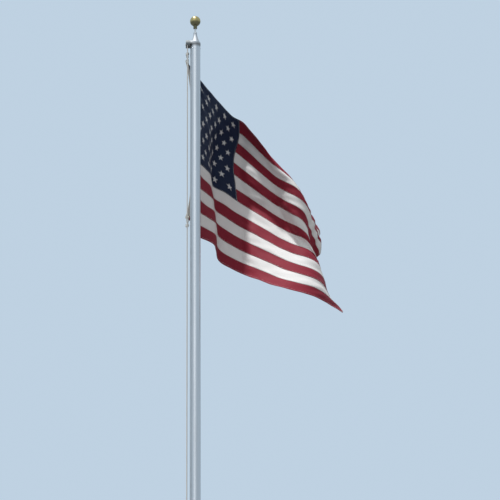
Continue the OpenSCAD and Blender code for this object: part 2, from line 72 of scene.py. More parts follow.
def placed(name, data):
    """Puts a camera, a lamp or a mesh into the scene."""
    thing = bpy.data.objects.new(name, data)
    scene.collection.objects.link(thing)
    return thing


def feed(tree, node, values):
    """Fills a node's inputs; a value is a number, a colour or the socket that feeds it."""
    for socket, value in values.items():
        if isinstance(value, bpy.types.NodeSocket):
            tree.links.new(value, node.inputs[socket])
        else:
            node.inputs[socket].default_value = value


def put(tree, kind, values=None, **settings):
    """Adds a node with its settings and inputs, and returns its outputs."""
    node = tree.nodes.new(kind)
    for key, value in settings.items():
        setattr(node, key, value)
    feed(tree, node, values or {})
    return node.outputs


def maths(tree, operation, a, b=None, clamp=False):
    """The outcome of one sum of one or two values."""
    values = {0: a} if b is None else {0: a, 1: b}
    return put(tree, "ShaderNodeMath", values, operation=operation, use_clamp=clamp)[0]


def spread(tree, value, low, high):
    """A value from 0 to 1 brought between low and high."""
    return put(tree, "ShaderNodeMapRange", {0: value, 3: low, 4: high})[0]


def mottle(tree, place, scale, detail, roughness=0.5):
    """An uneven value from 0 to 1 over a place."""
    return put(tree, "ShaderNodeTexNoise",
               {"Vector": place, "Scale": scale, "Detail": detail, "Roughness": roughness})[0]


def blend_colour(tree, mask, a, b):
    """Colour a where the mask is 0, and colour b where it is 1."""
    a, b = [c if isinstance(c, bpy.types.NodeSocket) else (*c, 1) for c in (a, b)]
    return put(tree, "ShaderNodeMix", {0: mask, 6: a, 7: b}, data_type="RGBA")[2]


def seen_by(tree, *rays):
    """1 for a ray of one of these kinds, and 0 for the others."""
    path = put(tree, "ShaderNodeLightPath")
    seen = path[rays[0]]
    for ray in rays[1:]:
        seen = maths(tree, "MAXIMUM", seen, path[ray])
    return seen


def blank(name, **shader_values):
    """A material whose plain values are set on the shader's own sockets."""
    material = bpy.data.materials.new(name)
    material.use_nodes = True
    shader = material.node_tree.nodes["Principled BSDF"]
    for key, value in shader_values.items():
        shader.inputs[key.replace("_", " ")].default_value = value
    return material, material.node_tree, shader


# ---- camera, lights and floor ----

VIEW_TILT = 20
EYE = (0, -11.8, 1.76)
FLOOR_R = 40
FLOOR_GAP = 0.001


def photo_camera():
    """The camera at the photograph's angle: low, looking up, with the pole left of the middle."""
    lens = bpy.data.cameras.new("photo_view")
    lens.sensor_width = 36
    lens.lens = 131.04
    lens.shift_x = 0.1095
    lens.clip_end = 400
    camera = placed("photo_view", lens)
    camera.location = EYE
    camera.rotation_euler = (math.radians(90 + VIEW_TILT), 0, 0)
    scene.camera = camera


def sun(name, energy, azimuth, elevation, softness):
    """A soft lamp; azimuth 0 shines from the camera's side and 90 from +X."""
    lamp = bpy.data.lights.new(name, "SUN")
    lamp.energy = energy
    lamp.angle = math.radians(softness)
    a, e = math.radians(azimuth), math.radians(elevation)
    towards = Vector((math.sin(a) * math.cos(e), -math.cos(a) * math.cos(e), math.sin(e)))
    holder = placed(name, lamp)
    holder.rotation_mode = "QUATERNION"
    holder.rotation_quaternion = towards.to_track_quat("Z", "Y")


def pale_world():
    """Soft even light, and a pale background where the camera, metal or glass sees it."""
    world = bpy.data.worlds.new("pale_room")
    world.use_nodes = True
    tree = world.node_tree
    tree.nodes.clear()
    seen = seen_by(tree, "Is Camera Ray", "Is Glossy Ray", "Is Transmission Ray")
    fill = put(tree, "ShaderNodeBackground", {"Color": (0.94, 0.97, 1.0, 1), "Strength": 0.45})[0]
    backdrop = put(tree, "ShaderNodeBackground",
                   {"Color": (0.52, 0.64, 0.76, 1), "Strength": 1.0})[0]
    mix = put(tree, "ShaderNodeMixShader", {0: seen, 1: fill, 2: backdrop})[0]
    put(tree, "ShaderNodeOutputWorld", {"Surface": mix})
    scene.world = world


def pale_floor():
    """A wide floor that looks pale but throws little light up at the flag."""
    bm = bmesh.new()
    bmesh.ops.create_circle(bm, cap_ends=True, segments=96, radius=FLOOR_R)
    bmesh.ops.translate(bm, verts=bm.verts, vec=(0, 0, -FLOOR_GAP))
    mesh = bpy.data.meshes.new("floor")
    bm.to_mesh(mesh)
    bm.free()
    paint, tree, shader = blank("floor_paint", Roughness=0.9)
    seen = seen_by(tree, "Is Camera Ray", "Is Glossy Ray")
    tone = blend_colour(tree, seen, (0.15, 0.15, 0.15), (0.46, 0.48, 0.50))
    feed(tree, shader, {"Base Color": tone})
    mesh.materials.append(paint)
    placed("floor", mesh)


scene.view_settings.view_transform = "Standard"
photo_camera()
pale_world()
pale_floor()
sun("key", 2.9, -50, 74, 3)
sun("low_strip", 0.34, -13, 24, 44)


# ---- shared effects, as node groups ----

def effect(name, inputs, outputs):
    """A node group; returns it, its input sockets by name and its output node."""
    tree = bpy.data.node_groups.new(name, "ShaderNodeTree")
    for label, value in inputs.items():
        kind = "NodeSocketFloat" if isinstance(value, float) else "NodeSocketVector"
        socket = tree.interface.new_socket(name=label, in_out="INPUT", socket_type=kind)
        socket.default_value = value
    for label in outputs:
        tree.interface.new_socket(name=label, in_out="OUTPUT", socket_type="NodeSocketFloat")
    return tree, tree.nodes.new("NodeGroupInput").outputs, tree.nodes.new("NodeGroupOutput")


def grain_effect():
    """Noise drawn out by a stretch in each direction: brush lines, casting skin or streaks."""
    tree, given, out = effect("drawn_grain", {"Stretch": (1, 1, 1), "Contrast": 1.0}, ["Value"])
    place = put(tree, "ShaderNodeTexCoord")["Object"]
    drawn = put(tree, "ShaderNodeVectorMath", {0: place, 1: given["Stretch"]},
                operation="MULTIPLY")[0]
    centred = maths(tree, "SUBTRACT", mottle(tree, drawn, 1.0, 3.0, 0.6), 0.5)
    strong = maths(tree, "MULTIPLY", centred, given["Contrast"])
    feed(tree, out, {"Value": maths(tree, "ADD", strong, 0.5, clamp=True)})
    return tree


def painted_shade_and_reflection_effect():
    """Mask for painted shade and painted reflection: 1 near a point, fading further off, with a
    ragged edge.
    """
    tree, given, out = effect(
        "painted_shade_and_reflection", {"Centre": (0, 0, 0), "Reach": (1, 1, 1), "Near": 0.01, "Far": 0.02}, ["Mask"])
    place = put(tree, "ShaderNodeTexCoord")["Object"]
    away = put(tree, "ShaderNodeVectorMath", {0: place, 1: given["Centre"]},
               operation="SUBTRACT")[0]
    away = put(tree, "ShaderNodeVectorMath", {0: away, 1: given["Reach"]},
               operation="MULTIPLY")[0]
    away = put(tree, "ShaderNodeVectorMath", {0: away}, operation="LENGTH")["Value"]
    patchy = maths(tree, "SUBTRACT", mottle(tree, place, 70.0, 3.0), 0.5)
    ragged = maths(tree, "MULTIPLY", patchy, maths(tree, "MULTIPLY", given["Far"], 0.5))
    mask = put(tree, "ShaderNodeMapRange",
               {0: maths(tree, "ADD", away, ragged), 1: given["Far"], 2: given["Near"]})[0]
    feed(tree, out, {"Mask": mask})
    return tree


def wear_effect():
    """Mask that is 1 on rubbed edges, broken up by noise."""
    tree, given, out = effect("edge_wear", {"Width": 0.001, "Amount": 1.0}, ["Mask"])
    rounded = put(tree, "ShaderNodeBevel", {"Radius": given["Width"]}, samples=4)[0]
    normal = put(tree, "ShaderNodeNewGeometry")["Normal"]
    flat = put(tree, "ShaderNodeVectorMath", {0: rounded, 1: normal},
               operation="DOT_PRODUCT")["Value"]
    edge = maths(tree, "MULTIPLY", maths(tree, "SUBTRACT", 1.0, flat), 9.0)
    patchy = mottle(tree, put(tree, "ShaderNodeTexCoord")["Object"], 160.0, 2.0)
    mask = maths(tree, "MULTIPLY", edge, maths(tree, "MULTIPLY", patchy, given["Amount"]),
                 clamp=True)
    feed(tree, out, {"Mask": mask})
    return tree


def weave_effect():
    """Plain weave of warp and weft on a UV map in metres, and its uneven threads."""
    tree, given, out = effect(
        "plain_weave", {"UV": (0, 0, 0), "Threads": 1500.0}, ["Height", "Slub"])
    counted = put(tree, "ShaderNodeVectorMath", {0: given["UV"], "Scale": given["Threads"]},
                  operation="SCALE")[0]
    axes = put(tree, "ShaderNodeSeparateXYZ", {0: counted})
    weft = maths(tree, "SINE", maths(tree, "MULTIPLY", axes[0], math.pi))
    warp = maths(tree, "SINE", maths(tree, "MULTIPLY", axes[1], math.pi))
    long_thread = put(tree, "ShaderNodeMapping", {"Vector": given["UV"], "Scale": (14, 420, 1)})[0]
    feed(tree, out, {"Height": maths(tree, "ABSOLUTE", maths(tree, "MULTIPLY", weft, warp)),
                     "Slub": mottle(tree, long_thread, 1.0, 2.0)})
    return tree


def braid_effect():
    """Crossed strands of a braid on a UV map: x once round the rope, y along it in metres."""
    tree, given, out = effect(
        "rope_braid", {"UV": (0, 0, 0), "Strands": 8.0, "Lay": 90.0}, ["Height", "Shade"])
    axes = put(tree, "ShaderNodeSeparateXYZ", {0: given["UV"]})
    around = maths(tree, "MULTIPLY", axes[0], given["Strands"])
    along = maths(tree, "MULTIPLY", axes[1], given["Lay"])
    left, right = [
        maths(tree, "SINE", maths(tree, "MULTIPLY", maths(tree, way, around, along), math.pi))
        for way in ("ADD", "SUBTRACT")]
    crossing = maths(tree, "ABSOLUTE", maths(tree, "MULTIPLY", left, right))
    height = maths(tree, "POWER", crossing, 0.5)
    shade = maths(tree, "ADD", maths(tree, "MULTIPLY", height, 0.5), 0.5)
    feed(tree, out, {"Height": height, "Shade": shade})
    return tree


GRAIN = grain_effect()
PAINTED_SHADE_AND_REFLECTION = painted_shade_and_reflection_effect()
WEAR = wear_effect()
WEAVE = weave_effect()
BRAID = braid_effect()


def use(tree, group, values):
    """Places a shared effect in a material with its own values."""
    return put(tree, "ShaderNodeGroup", values, node_tree=group)


def surface(tree, shader, tone, gloss, height, strength, depth):
    """Gives the shader its colour, its roughness and a fine relief."""
    relief = put(tree, "ShaderNodeBump",
                 {"Height": height, "Strength": strength, "Distance": depth})[0]
    feed(tree, shader, {"Base Color": tone, "Roughness": gloss, "Normal": relief})


def scaled(colour, share):
    """A colour made darker by a share."""
    return tuple(c * share for c in colour)


# ---- finishes ----

RUBBED_EDGE = 0.0012
# Extra roughness where painted shade and painted reflection darken a metal
PAINTED_PATCH_ROUGHENS = 0.15


def metal(name, colour, roughness, grain, streaks=(70, 70, 1.1), line_depth=0.00003, dull=0.82,
          wear=0.6, gloss_range=0.12, painted_shades_and_reflections=()):
    """Metal with lines of its making, dull weathered streaks, rubbed edges, and painted shade and
    painted reflection at given places.
    """
    material, tree, shader = blank(name, Metallic=1.0)
    lines = use(tree, GRAIN, {"Stretch": grain, "Contrast": 1.5})["Value"]
    weather = use(tree, GRAIN, {"Stretch": streaks, "Contrast": 2.2})["Value"]
    rubbed = use(tree, WEAR, {"Width": RUBBED_EDGE, "Amount": wear})["Mask"]
    bright = tuple(min(1.0, c * 1.12) for c in colour)
    tone = blend_colour(tree, weather, scaled(colour, dull), colour)
    tone = blend_colour(tree, rubbed, tone, bright)
    gloss = maths(tree, "ADD",
                  spread(tree, lines, roughness - gloss_range, roughness + gloss_range),
                  spread(tree, weather, 0.06, -0.04))
    # Painted shade and painted reflection: a dark colour laid over the metal near each given point
    for place, painted_colour in painted_shades_and_reflections:
        painted_mask = use(tree, PAINTED_SHADE_AND_REFLECTION, place)["Mask"]
        tone = blend_colour(tree, painted_mask, tone, painted_colour)
        gloss = maths(tree, "ADD", gloss, maths(tree, "MULTIPLY", painted_mask, PAINTED_PATCH_ROUGHENS))
    surface(tree, shader, tone, gloss, lines, 1.0, line_depth)
    return material


def woven(name, colour, faded, threads=2600, roughness=0.70, sheen=0.03, weave_depth=0.00015):
    """Cloth with its weave, uneven threads and a little fading; nylon unless told otherwise."""
    material, tree, shader = blank(name, Sheen_Weight=sheen, Sheen_Roughness=0.4,
                                   Specular_IOR_Level=0.22)
    uv = put(tree, "ShaderNodeUVMap", uv_map="UVMap")[0]
    cloth = use(tree, WEAVE, {"UV": uv, "Threads": threads})
    worn = maths(tree, "ADD", spread(tree, mottle(tree, uv, 3.2, 4.0), -0.5, 1.1),
                 spread(tree, cloth["Slub"], -0.25, 0.25), clamp=True)
    height = maths(tree, "ADD", cloth["Height"], maths(tree, "MULTIPLY", cloth["Slub"], 0.6))
    surface(tree, shader, blend_colour(tree, worn, colour, faded),
            spread(tree, cloth["Slub"], roughness - 0.08, roughness + 0.08),
            height, 0.7, weave_depth)
    return material


def braided(name, colour, shade):
    """Braided or twisted fibre with a little grime."""
    material, tree, shader = blank(name, Sheen_Weight=0.15, Sheen_Roughness=0.5)
    braid = use(tree, BRAID, {"UV": put(tree, "ShaderNodeUVMap", uv_map="UVMap")[0]})
    grime = use(tree, GRAIN, {"Stretch": (25, 25, 9), "Contrast": 1.6})["Value"]
    tone = blend_colour(tree, braid["Shade"], shade, colour)
    tone = blend_colour(tree, spread(tree, grime, 0.0, 0.35), tone, scaled(colour, 0.78))
    surface(tree, shader, tone, spread(tree, grime, 0.62, 0.80), braid["Height"], 1.0, 0.0006)
    return material


def embroidered(name, colour, shade, pitch):
    """Satin stitches across each arm of a star; the UV map runs across and along the arm."""
    material, tree, shader = blank(name, Sheen_Weight=0.3, Sheen_Roughness=0.35)
    uv = put(tree, "ShaderNodeUVMap", uv_map="UVMap")[0]
    axes = put(tree, "ShaderNodeSeparateXYZ", {0: uv})
    waver = mottle(tree, uv, 120.0, 1.0)
    count = maths(tree, "ADD", maths(tree, "MULTIPLY", axes[1], math.tau / pitch), waver)
    thread = spread(tree, maths(tree, "SINE", count), 0.0, 1.0)
    surface(tree, shader, blend_colour(tree, thread, shade, colour),
            spread(tree, waver, 0.4, 0.6), thread, 0.8, 0.0003)
    return material


def moulded(name, colour, roughness):
    """Turned dark plastic with fine rings round the sheave's axle and scuffed edges."""
    material, tree, shader = blank(name)
    place = put(tree, "ShaderNodeTexCoord")["Object"]
    centred = put(tree, "ShaderNodeMapping", {"Vector": place, "Location": (0, 0, -SHEAVE_Z)})[0]
    axes = put(tree, "ShaderNodeSeparateXYZ", {0: centred})
    squares = [maths(tree, "MULTIPLY", axis, axis) for axis in (axes[1], axes[2])]
    radius = maths(tree, "SQRT", maths(tree, "ADD", *squares))
    turned = maths(tree, "SINE", maths(tree, "MULTIPLY", radius, math.tau / 0.0007))
    rings = spread(tree, turned, 0.0, 1.0)
    scuffed = use(tree, WEAR, {"Width": 0.001, "Amount": 0.8})["Mask"]
    pale = tuple(c * 2.2 + 0.03 for c in colour)
    surface(tree, shader, blend_colour(tree, scuffed, colour, pale),
            spread(tree, rings, roughness - 0.05, roughness + 0.05), rings, 0.5, 0.00004)
    return material


def painted_place(centre, near, far, painted_colour, reach=(1, 1, 1)):
    """A painted dark patch, full near a centre and gone beyond far, for painted shade and painted
    reflection; a reach of 0 leaves a direction out.
    """
    return {"Centre": centre, "Reach": reach, "Near": near, "Far": far}, painted_colour


BALL_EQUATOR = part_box("ball_lower_half")[1].z
HEIGHT_ONLY = (0, 0, 1)
# Painted shade: a grey band on the pole and the truck just under the truck's rim
PAINTED_SHADE_UNDER_RIM = painted_place((0, 0, POLE_TOP - 0.004), 0.006, 0.018, (0.30, 0.30, 0.30), HEIGHT_ONLY)
# Painted shade: the truck's hood darkened round the sheave
PAINTED_SHADE_ROUND_SHEAVE = painted_place((ROPE_X, 0, SHEAVE_Z), 0.024, 0.054, (0.27, 0.28, 0.27))
# Painted reflection: the gold ball's lower half darkened as if it reflected dark ground
PAINTED_REFLECTION_UNDER_BALL = painted_place((0, 0, BALL_EQUATOR - 0.050), 0.032, 0.050, (0.14, 0.13, 0.075),
                         HEIGHT_ONLY)

POLE_TUBE = metal("satin_pole_aluminium", (0.63, 0.64, 0.65), 0.36, (6, 6, 1400),
                  painted_shades_and_reflections=[PAINTED_SHADE_UNDER_RIM])
INNER_TUBE = metal("mill_finish_aluminium", (0.60, 0.61, 0.62), 0.42, (260, 260, 5))
SPUN = metal("spun_aluminium", (0.68, 0.69, 0.70), 0.32, (8, 8, 900), (14, 14, 20))
CAST = metal("cast_aluminium", (0.53, 0.54, 0.55), 0.62, (700, 700, 700), (30, 30, 12),
             line_depth=0.0001, wear=0.9, painted_shades_and_reflections=[PAINTED_SHADE_UNDER_RIM, PAINTED_SHADE_ROUND_SHEAVE])
STAINLESS = metal("turned_stainless", (0.58, 0.58, 0.57), 0.28, (30, 30, 1600), (90, 90, 30))
GOLD = metal("gold_anodised_aluminium", (0.62, 0.49, 0.21), 0.30, (40, 40, 500), (22, 22, 10),
             line_depth=0.00001, dull=0.72, wear=0.3, gloss_range=0.05, painted_shades_and_reflections=[PAINTED_REFLECTION_UNDER_BALL])
BRASS = metal("rolled_brass", (0.62, 0.42, 0.16), 0.34, (300, 300, 300), (120, 120, 120), dull=0.6)
SNAP_METAL = metal("nickel_plated_bronze", (0.60, 0.57, 0.50), 0.26, (500, 500, 200),
                   (160, 160, 90), dull=0.6)
NYLON_SHEAVE = moulded("black_nylon", (0.022, 0.022, 0.024), 0.42)
ROPE = braided("braided_polyester", (0.80, 0.80, 0.77), (0.50, 0.50, 0.48))
CANVAS = woven("duck_canvas", (0.80, 0.78, 0.72), (0.70, 0.68, 0.62), 1100, 0.85, 0.1, 0.0004)
BLUE_NYLON = woven("blue_nylon", (0.008, 0.015, 0.042), (0.014, 0.024, 0.058))
RED_NYLON = woven("red_nylon", (0.235, 0.014, 0.030), (0.275, 0.022, 0.042))
WHITE_NYLON = woven("white_nylon", (0.82, 0.81, 0.80), (0.76, 0.75, 0.74))
STAR_THREAD = embroidered("star_embroidery", (0.84, 0.84, 0.83), (0.62, 0.62, 0.62), 0.0009)
THREAD = braided("sewing_thread", (0.85, 0.84, 0.82), (0.66, 0.65, 0.63))

FINISHES = {
    "pole_lower_section": POLE_TUBE, "pole_upper_section": POLE_TUBE, "joint_sleeve": INNER_TUBE,
    "butt_plate": INNER_TUBE, "flash_collar": SPUN, "cleat": CAST, "truck": CAST,
    "sheave": NYLON_SHEAVE, "sheave_pin": STAINLESS, "finial_spindle": STAINLESS,
    "spindle_nut": STAINLESS, "ball_neck": GOLD, "ball_lower_half": GOLD, "ball_upper_half": GOLD,
    "upper_grommet": BRASS, "lower_grommet": BRASS,
}
for end in ("upper", "lower"):
    for part in ("snap_eye", "snap_hook", "snap_gate"):
        FINISHES[end + "_" + part] = SNAP_METAL
for name, finish in FINISHES.items():
    for place in nodes[name].material_slots:
        place.material = finish
    if not nodes[name].material_slots:
        nodes[name].data.materials.append(finish)


# ---- the hang of the cloth: the same run of threads as in the part's source ----
# s runs from 0 at the hoist to 1 at the fly, and t from 0 at the head to 1 at the foot.
# Angles are in degrees, and widths and places are shares of the cloth.

LEAVE_ANGLE = 58
HEADING_BOW = 0.080
FOLD_ANGLE = 86
RETURN_ANGLE = 5
CORNER_ROLL = 46
LOBE_ANGLE = 10
HOIST_DROOP = 15
OPEN_DROOP = 53
SNAP_Y = ROPE_Y + 0.022
GROMMET_Z = POLE_TOP - 0.130 - 0.0016
HEADING_SLACK = 0.010
SOURCE_STEPS = 60
ROWS = 407
STEPS = 240
DOWN = np.linspace(0, 1, ROWS)[:, None]
ALONG = np.linspace(0, 1, STEPS + 1)[None, :]


def ease(low, high, value):
    """Rises softly from 0 at low to 1 at high."""
    q = np.clip((value - low) / (high - low), 0, 1)
    return q * q * (3 - 2 * q)


def swell(middle, width, value):
    """1 at the middle, and 0 a width away on either side."""
    return ease(middle - width, middle, value) * (1 - ease(middle, middle + width, value))


def turn_at(middle, width, value):
    """Rises softly from 0 to 1 across a fold at the middle."""
    return ease(middle - width, middle + width, value)


def graded(v, t):
    """The value at the head, what it gains towards the foot, and what it swells between them."""
    return v[0] + v[1] * t + v[2] * np.sin(np.pi * t)


def roll_start(t):
    """Where the loose corner of the fly begins to roll."""
    return 0.562 + 1.25 * t - 0.21 * t * t


def plan_angle(s, t):
    """Which way a thread runs, seen from above."""
    deep = ease(0, 0.39, t)
    leave = graded((LEAVE_ANGLE, -8, 11), t)
    away = leave + (FOLD_ANGLE - leave) * deep
    back = leave + (RETURN_ANGLE - leave) * deep
    field = graded((-34, -14, 24), t)
    middle = graded((-31, 58, -55), t)
    fly = graded((11, 41, 56), t)
    crest = 0.161 + 0.044 * t
    valley = 0.33 + 0.68 * (s - 0.55)
    lobe = np.cos(math.tau * (t - valley) / 0.62) * (1 - ease(0.8, 1, t))
    return (leave
            + (away - leave) * turn_at(crest, 0.03, s)
            + (back - away) * turn_at(crest + 0.123, 0.04, s)
            + (field - back) * turn_at(crest + 0.222, 0.045, s)
            + (middle - field) * turn_at(0.625 + 0.073 * t, 0.08, s)
            + (fly - middle) * turn_at(0.742 + 0.066 * t, 0.08, s)
            + CORNER_ROLL * (1 - 3.75 * t) * turn_at(roll_start(t), 0.05, s)
            - LOBE_ANGLE * lobe * swell(0.74, 0.14, s))


def droop_angle(s, t):
    """How far a thread runs downhill."""
    near = graded((HOIST_DROOP, -13, -3), t)
    field = graded((OPEN_DROOP, -25, -2), t)
    fly = graded((31, -26, 13), t)
    return (near
            + (field - near) * turn_at(0.40 - 0.12 * t, 0.05, s)
            + (fly - field) * turn_at(0.625 + 0.073 * t, 0.08, s)
            + (14 + 55 * t * t) * swell(0.06, 0.05, s)
            + 8 * turn_at(roll_start(t), 0.05, s))


def bow_shape(t):
    """The heading's bow, which is flat at its middle and falls away at the snaps."""
    return 1 - np.abs(2 * t - 1) ** 4


def hang():
    """Points of the cloth on an even grid: rows down the hoist and columns along the fly."""
    s = ((np.arange(STEPS) + 0.5) / STEPS)[None, :]
    plan, droop = np.radians(plan_angle(s, DOWN)), np.radians(droop_angle(s, DOWN))
    steps = np.stack([np.cos(droop) * np.cos(plan), np.cos(droop) * np.sin(plan),
                      -np.sin(droop)], -1) * FLY / STEPS
    t = DOWN[:, 0]
    first = np.radians(droop_angle(0.5 / SOURCE_STEPS, t))
    out = (HEADING_BOW * (bow_shape(t) - bow_shape(GROMMET_IN / HOIST))
           - GROMMET_IN * np.cos(first))
    low_z = GROMMET_Z - (HOIST - 2 * GROMMET_IN) + HEADING_SLACK - GROMMET_IN
    top_z = GROMMET_Z + GROMMET_IN
    leave = math.radians(LEAVE_ANGLE)
    edge = np.stack([ROPE_X + out * math.cos(leave), SNAP_Y + out * math.sin(leave),
                     top_z + (low_z - top_z) * t + GROMMET_IN * np.sin(first)], -1)
    return np.concatenate([edge[:, None], edge[:, None] + np.cumsum(steps, 1)], 1)


def facing(points):
    """The way that the cloth's front looks, at each point."""
    n = np.cross(np.gradient(points, axis=0), np.gradient(points, axis=1))
    return n / np.linalg.norm(n, axis=-1, keepdims=True)


# ---- what the dressed cloth has beyond that hang ----

HOLLOW_DEPTH = 0.026
FOLD_DEPTH = 0.022
SAG_DEPTH = 0.066
TUCK = 0.018
PULL = 0.0035
FLUTTER = 0.0030
CRUMPLE = 0.0060
GATHER = 0.005
GATHER_PITCH = 0.085
TO_CAMERA = np.array([0, -math.cos(math.radians(VIEW_TILT)), -math.sin(math.radians(VIEW_TILT))])


def tuck_in(points):
    """Draws the blue field's edge back along its threads, and lets its lower corner out."""
    back = TUCK * swell(0.41, 0.16, ALONG) * (swell(0.27, 0.22, DOWN)
                                              - 0.8 * swell(0.56, 0.20, DOWN))
    at = np.clip((ALONG - back) * STEPS, 0, STEPS - 1e-6)
    whole = at.astype(int)
    share = (at - whole)[..., None]
    row = np.arange(ROWS)[:, None]
    return points[row, whole] * (1 - share) + points[row, whole + 1] * share


def groove(t, line, width):
    """1 on the cloth beside a fold, and -1 along its line."""
    return 1 - 2 * np.exp(-np.sqrt((t - line) ** 2 + 0.010 ** 2) / width)


def soft_folds(s, t):
    """The hollow under the blue corner, the steep fold from it to the fly, and the sag above."""
    across = ease(0.425, 0.475, s) * (1 - ease(0.70, 0.84, s))
    down = ease(-0.10, 0.40, t) * (1 - ease(0.86, 1.0, t))
    hollow = groove(t, 0.50 + 0.10 * ease(0.60, 0.75, s), 0.12) * across * down
    line = 0.375 + 1.5 * np.maximum(s - 0.63, 0)
    flank = np.where(t < line, 0.055, 0.10)
    steep = (groove(t, line, flank) - 1) * ease(0.56, 0.66, s) * (1 - ease(0.80, 0.90, s))
    sag = (ease(0.08, 0.42, t) * (1 - ease(0.48, 0.80, t))
           * ease(0.33, 0.45, s) * (1 - ease(0.78, 0.90, s)))
    return HOLLOW_DEPTH * hollow + FOLD_DEPTH * steep - SAG_DEPTH * sag


def wrinkles():
    """Pulls from the top grommet, a fluttering fly, crumpled nylon and gathers at the corner."""
    v, u = DOWN * HOIST, ALONG * FLY
    reach = np.hypot(u, v)
    pull = (np.sin(np.arctan2(v + 0.02, u + 0.02) * 17)
            * ease(0.05, 0.25, reach) * (1 - ease(0.35, 0.85, reach)))
    flutter = np.sin(v * 41 + np.sin(u * 6) * 1.3) * ease(FLY - 0.35, FLY, u)
    crumple = np.zeros((ROWS, STEPS + 1))
    for j in range(ROWS):
        for i in range(STEPS + 1):
            place = Vector((u[0, i] * 3.1 + v[j, 0] * 1.3, v[j, 0] * 7.5, 0.37))
            crumple[j, i] = noise.noise(place) + 0.9 * noise.noise(place * 2.7)
    gather = (np.sin(math.tau * (u / GATHER_PITCH + 0.8 * DOWN))
              * ease(0.80, 0.90, ALONG) * (1 - ease(0.62, 0.82, DOWN)))
    free = ease(0.03, 0.10, u)
    return (PULL * pull + FLUTTER * flutter + CRUMPLE * crumple) * free + GATHER * gather


# The soft folds go in along the line of sight, so that the outline in the photograph stays
CLOTH = tuck_in(hang()) + soft_folds(ALONG, DOWN)[..., None] * TO_CAMERA
CLOTH = CLOTH + wrinkles()[..., None] * facing(CLOTH)
FACING = facing(CLOTH)


def on_cloth(u, v, lift):
    """Where a point of the flat pattern comes to lie, lift in front of the cloth's middle."""
    i = min(max(u / FLY * STEPS, 0), STEPS - 1e-6)
    j = min(max(v / HOIST * (ROWS - 1), 0), ROWS - 1 - 1e-6)
    i0, j0 = int(i), int(j)
    a, b = i - i0, j - j0
    point, way = np.zeros(3), np.zeros(3)
    for row, column, share in ((j0, i0, (1 - a) * (1 - b)), (j0, i0 + 1, a * (1 - b)),
                               (j0 + 1, i0, (1 - a) * b), (j0 + 1, i0 + 1, a * b)):
        point += CLOTH[row, column] * share
        way += FACING[row, column] * share
    over_u, over_v = u - min(max(u, 0), FLY), v - min(max(v, 0), HOIST)
    if over_u:
        point = point + (CLOTH[j0, i0 + 1] - CLOTH[j0, i0]) * over_u / FLY * STEPS
    if over_v:
        point = point + (CLOTH[j0 + 1, i0] - CLOTH[j0, i0]) * over_v / HOIST * (ROWS - 1)
    return Vector(point + way / np.linalg.norm(way) * lift)


# ---- making pieces ----

def piece(bm, name, material, body):
    """Turns a bmesh into a finished piece that rides on its CAD body."""
    for face in bm.faces:
        face.smooth = True
    mesh = bpy.data.meshes.new(name)
    bm.to_mesh(mesh)
    bm.free()
    mesh.materials.append(material)
    thing = placed(name, mesh)
    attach(thing, body)
    return thing


def pour(part, bm):
    """Moves what one bmesh holds into another."""
    mesh = bpy.data.meshes.new("part")
    part.to_mesh(mesh)
    part.free()
    bm.from_mesh(mesh)
    bpy.data.meshes.remove(mesh)


def drape(bm):
    """Hangs a flat pattern: x is along the fly, y down the hoist, and z the lift."""
    for vert in bm.verts:
        vert.co = on_cloth(*vert.co)


def pattern(us, vs):
    """A flat piece of cloth with threads at the given distances; its UV map is in metres."""
    bm = bmesh.new()
    uv = bm.loops.layers.uv.new("UVMap")
    bmesh.ops.create_grid(bm, x_segments=len(us) - 1, y_segments=len(vs) - 1, size=0.5)
    for vert in bm.verts:
        i = round((vert.co.x + 0.5) * (len(us) - 1))
        j = round((0.5 - vert.co.y) * (len(vs) - 1))
        vert.co = (us[i], vs[j], 0)
    for face in bm.faces:
        for loop in face.loops:
            loop[uv].uv = loop.vert.co.xy
    return bm


def thicken(thing, thickness):
    """Gives cloth its thickness, half to each side, and returns the modifier."""
    wall = thing.modifiers.new("thickness", "SOLIDIFY")
    wall.thickness = thickness
    wall.offset = 0
    wall.use_even_offset = True
    return wall


def stations(start, end, pitch, extra=()):
    """Evenly spread distances with some extra lines where the cloth is folded."""
    count = max(1, round((end - start) / pitch))
    even = [start + (end - start) * i / count for i in range(count + 1)]
    lines = [x for x in extra if start < x < end]
    kept = [x for x in even
            if all(abs(x - y) > 0.35 * pitch for y in lines) or x in (even[0], even[-1])]
    return sorted(kept + lines)


# Laps and hems; cloth outside a hem has SINGLE_SHARE of the hem's thickness
LAP = 0.0045
LAP_LIFT = 0.00035
HEM = 0.012
FLY_HEM = 0.020
HEM_STEP = 0.002
HEM_T = 0.0012
SINGLE_SHARE = 0.42
NEST = 0.0015
THREAD_GAP_U = 0.0078
THREAD_GAP_V = 0.0085
TINY = 1e-6


